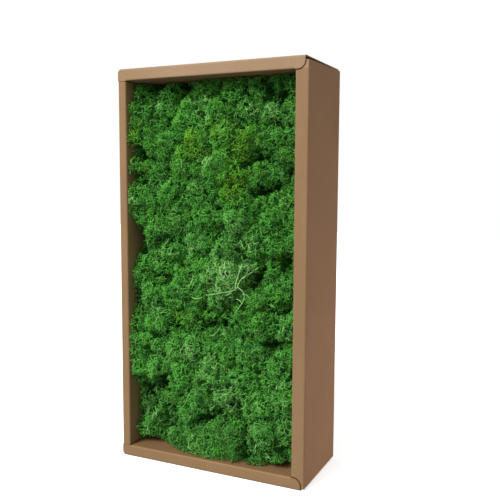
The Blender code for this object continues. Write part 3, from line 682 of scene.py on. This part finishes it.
def finish_shader(material, roughness, specular):
    shader = material.node_tree.nodes["Principled BSDF"]
    shader.inputs["Roughness"].default_value = roughness
    shader.inputs["Specular IOR Level"].default_value = specular
    return shader


def new_material(name):
    made = bpy.data.materials.new(name)
    made.use_nodes = True
    return made, made.node_tree


def moss_material():
    """Dyed lichen: the tint picks the dye, and the tone runs from the shaded root of a branchlet to its tip."""
    made, tree = new_material("dyed_lichen")
    uv = tree.nodes.new("ShaderNodeUVMap")
    uv.uv_map = "OFBake"
    split = tree.nodes.new("ShaderNodeSeparateXYZ")
    tree.links.new(uv.outputs["UV"], split.inputs["Vector"])
    tips = ramp(tree, split.outputs["X"], (
        (0.0, (0.205, 0.540, 0.030)), (0.15, (0.168, 0.545, 0.046)), (0.35, (0.132, 0.545, 0.066)),
        (0.70, (0.225, 0.600, 0.122)), (0.85, (0.340, 0.690, 0.200)), (1.0, (0.470, 0.760, 0.310)),
    ))
    roots = ramp(tree, split.outputs["X"], (
        (0.0, (0.022, 0.090, 0.005)), (0.35, (0.013, 0.090, 0.009)), (0.70, (0.026, 0.110, 0.019)),
        (1.0, (0.100, 0.220, 0.060)),
    ))
    shader = finish_shader(made, 0.72, 0.25)
    tree.links.new(mix_colours(tree, "MIX", split.outputs["Y"], roots, tips), shader.inputs["Base Color"])
    return made


def painted_kraft_light_and_shade(tree, place):
    """Where light and shade are painted into the liner's colour: pairs of a factor and the colour that it multiplies
    by.
    """

    def maths(operation, first, second):
        made = tree.nodes.new("ShaderNodeMath")
        made.operation = operation
        tree.links.new(first, made.inputs[0])
        if isinstance(second, float):
            made.inputs[1].default_value = second
        else:
            tree.links.new(second, made.inputs[1])
        return made.outputs[0]

    def slope(source, rate, start):
        """start + rate times the source, from 0 to 1."""
        found = maths("MULTIPLY_ADD", source, rate)
        found.node.inputs[2].default_value = start
        found.node.use_clamp = True
        return found

    def both(*factors):
        found = factors[0]
        for factor in factors[1:]:
            found = maths("MULTIPLY", found, factor)
        return found

    spot, facing = (tree.nodes.new("ShaderNodeSeparateXYZ") for _ in range(2))
    tree.links.new(place, spot.inputs[0])
    tree.links.new(tree.nodes.new("ShaderNodeNewGeometry").outputs["Normal"], facing.inputs[0])
    x, y, z = (spot.outputs[axis] for axis in "XYZ")
    rim = FRONT + 0.0004
    front, inside = maths("LESS_THAN", y, rim), maths("GREATER_THAN", y, rim)
    # Painted highlight: the top rim is paler and cooler, most of all away from its left end
    pale = both(maths("GREATER_THAN", z, OPEN_TOP + 0.0006), front, slope(x, 8.0, 1.45))
    # Painted shade: the faces inside that look up or down are darkened
    flat = maths("GREATER_THAN", maths("ABSOLUTE", facing.outputs["Z"], 0.0), 0.8)
    painted_inner_shade = both(flat, inside, maths("LESS_THAN", z, 0.4900), maths("GREATER_THAN", z, 0.0100))
    # Painted shade in the slits beside the rounded flaps, the same above and below
    middle, half = (OPEN_TOP + OPEN_BOTTOM) / 2, (OPEN_TOP - OPEN_BOTTOM) / 2
    past = maths("MAXIMUM", maths("SUBTRACT", x, FLAP_END - FLAP_RADIUS), 0.0)
    up = maths("MULTIPLY", maths("ABSOLUTE", maths("SUBTRACT", z, middle), 0.0), -1.0)
    up = maths("MAXIMUM", maths("ADD", up, half + FLAP_RADIUS), 0.0)
    reach = maths("SQRT", maths("ADD", both(past, past), both(up, up)), 0.0)
    off = maths("ABSOLUTE", maths("SUBTRACT", reach, FLAP_RADIUS + 0.0005), 0.0)
    painted_slit_shade = both(slope(off, -1600.0, 1.9), front, maths("GREATER_THAN", x, OPEN_RIGHT + 0.0002))
    # A painted shadow line along the foot of the right wall
    foot = both(maths("GREATER_THAN", x, WIDTH / 2 - 0.0012), maths("LESS_THAN", z, 0.0024))
    return (
        (pale, (1.24, 1.36, 1.64)), (painted_inner_shade, (0.72, 0.66, 0.58)), (painted_slit_shade, (0.34, 0.24, 0.18)), (foot, (0.50, 0.44, 0.42)),
    )


def kraft_material():
    """Kraft liner: broad blotches, fine fibres along the board and dark specks, with painted highlight and shade by
    place.
    """
    made, tree = new_material("kraft_liner")
    place = tree.nodes.new("ShaderNodeTexCoord").outputs["Object"]

    def noise(scale, detail, stretch=(1, 1, 1)):
        mapping = node_of(tree, "ShaderNodeMapping", Scale=stretch)
        tree.links.new(place, mapping.inputs["Vector"])
        found = node_of(tree, "ShaderNodeTexNoise", Scale=scale, Detail=detail, Roughness=0.6)
        tree.links.new(mapping.outputs[0], found.inputs["Vector"])
        return found.outputs["Fac"]

    colour = ramp(tree, noise(14, 3), ((0.30, (0.288, 0.170, 0.080)), (0.70, (0.318, 0.191, 0.094))))
    fibre = ramp(tree, noise(900, 4, (1, 1, 0.16)), ((0.30, (0.95, 0.95, 0.95)), (0.70, (1.04, 1.04, 1.04))))
    speck = ramp(tree, noise(1500, 2), ((0.24, (0.86, 0.84, 0.82)), (0.34, (1.0, 1.0, 1.0))))
    for factor, shade in ((1.0, fibre), (1.0, speck), *painted_kraft_light_and_shade(tree, place)):
        colour = mix_colours(tree, "MULTIPLY", factor, colour, shade)
    shader = finish_shader(made, 0.82, 0.22)
    tree.links.new(colour, shader.inputs["Base Color"])
    bump = node_of(tree, "ShaderNodeBump", Strength=0.25, Distance=0.0004)
    tree.links.new(noise(700, 5, (1, 1, 0.3)), bump.inputs["Height"])
    tree.links.new(bump.outputs["Normal"], shader.inputs["Normal"])
    return made


def plain_material(name, colour, emission):
    made, _ = new_material(name)
    shader = finish_shader(made, 0.9, 0.1)
    shader.inputs["Base Color"].default_value = (*colour, 1)
    shader.inputs["Emission Color"].default_value = (1, 1, 1, 1)
    shader.inputs["Emission Strength"].default_value = emission
    return made


def add_object(name, data):
    made = bpy.data.objects.new(name, data)
    bpy.context.scene.collection.objects.link(made)
    return made


def add_camera():
    """The photograph's view, solved from the corners of the carton."""
    camera = bpy.data.cameras.new("camera")
    camera.sensor_width, camera.lens = 36.0, 48.67
    camera.clip_start, camera.clip_end = 0.05, 30.0
    yaw, pitch, roll = (math.radians(a) for a in (25.03, -5.69, -0.29))
    turn = Matrix.Rotation(yaw, 3, "Z") @ Matrix.Rotation(roll, 3, "Y") @ Matrix.Rotation(pitch, 3, "X")
    right, ahead, up = (turn @ Vector(axis) for axis in ((1, 0, 0), (0, 1, 0), (0, 0, 1)))
    place = Matrix((right, up, -ahead)).transposed().to_4x4()
    place.translation = (0.3896, -0.7700, 0.3594)
    made = add_object("camera", camera)
    made.matrix_world = place
    bpy.context.scene.camera = made


def add_light(name, kind, place, aim, size, power, colour=(1, 1, 1)):
    """A sun's size is its angle in degrees, and an area light's its side in metres."""
    light = bpy.data.lights.new(name, kind)
    light.energy, light.color = power, colour
    if kind == "SUN":
        light.angle = math.radians(size)
    else:
        light.size = size
    made = add_object(name, light)
    made.location = place
    made.rotation_euler = (Vector(aim) - Vector(place)).to_track_quat("-Z", "Y").to_euler()
    made.visible_camera = False


def add_floor():
    mesh = bpy.data.meshes.new("floor")
    mesh.from_pydata([(-4, -4, 0), (4, -4, 0), (4, 4, 0), (-4, 4, 0)], [], [(0, 1, 2, 3)])
    mesh.materials.append(plain_material("floor_white", (0.90, 0.90, 0.90), 0.60))
    floor = add_object("floor", mesh)
    floor.location.z = -0.0002
    floor.visible_diffuse = False


def add_backdrop():
    """White all round. Only the camera sees it, so it doesn't light the object."""
    mesh = bpy.data.meshes.new("backdrop")
    ball = bmesh.new()
    bmesh.ops.create_uvsphere(ball, u_segments=48, v_segments=24, radius=12)
    ball.to_mesh(mesh)
    ball.free()
    mesh.materials.append(plain_material("backdrop_white", (0, 0, 0), 1.0))
    backdrop = add_object("backdrop", mesh)
    for name in ("diffuse", "glossy", "transmission", "volume_scatter", "shadow"):
        setattr(backdrop, "visible_" + name, False)


def light_room():
    """Soft light from all round, stronger from above."""
    world = bpy.data.worlds.new("studio")
    world.use_nodes = True
    tree = world.node_tree
    split = tree.nodes.new("ShaderNodeSeparateXYZ")
    tree.links.new(tree.nodes.new("ShaderNodeTexCoord").outputs["Generated"], split.inputs[0])
    height = tree.nodes.new("ShaderNodeMath")
    height.operation, height.inputs[1].default_value, height.inputs[2].default_value = "MULTIPLY_ADD", 0.5, 0.5
    tree.links.new(split.outputs["Z"], height.inputs[0])
    sky = ramp(tree, height.outputs[0], ((0.40, (0.16, 0.16, 0.16)), (0.60, (0.50, 0.50, 0.50))))
    tree.links.new(sky, tree.nodes["Background"].inputs["Color"])
    bpy.context.scene.world = world


def corners(box):
    return [list(box[0]), list(box[1])]


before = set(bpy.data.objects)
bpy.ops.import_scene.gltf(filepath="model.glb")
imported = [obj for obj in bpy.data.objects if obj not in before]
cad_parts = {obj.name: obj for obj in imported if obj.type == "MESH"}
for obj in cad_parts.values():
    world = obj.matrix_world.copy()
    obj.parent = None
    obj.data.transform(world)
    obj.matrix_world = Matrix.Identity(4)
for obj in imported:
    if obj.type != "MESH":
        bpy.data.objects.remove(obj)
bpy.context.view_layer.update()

add_camera()
add_floor()
add_backdrop()
light_room()
add_light("key", "SUN", (-0.56, -1.30, 1.32), (0.0, 0.0, 0.0), 24, 2.65)
add_light("top", "AREA", (-0.30, -0.70, 1.00), (0.0, -0.05, 0.42), 0.5, 3.4, (0.96, 0.98, 1.0))
add_light("fill", "AREA", (0.62, 0.26, 0.02), (0.12, 0.0, 0.02), 0.22, 1.90, (1.0, 0.68, 0.70))
bpy.context.scene.view_settings.view_transform = "Standard"

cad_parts["carton_tray"].material_slots[0].material = kraft_material()
layout, threads, lichen = Layout(), thread_list(), moss_material()
for number in range(len(CLUMPS)):
    grow_clump(number, layout, threads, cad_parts[f"moss_clump_{number + 1:02d}"], lichen)
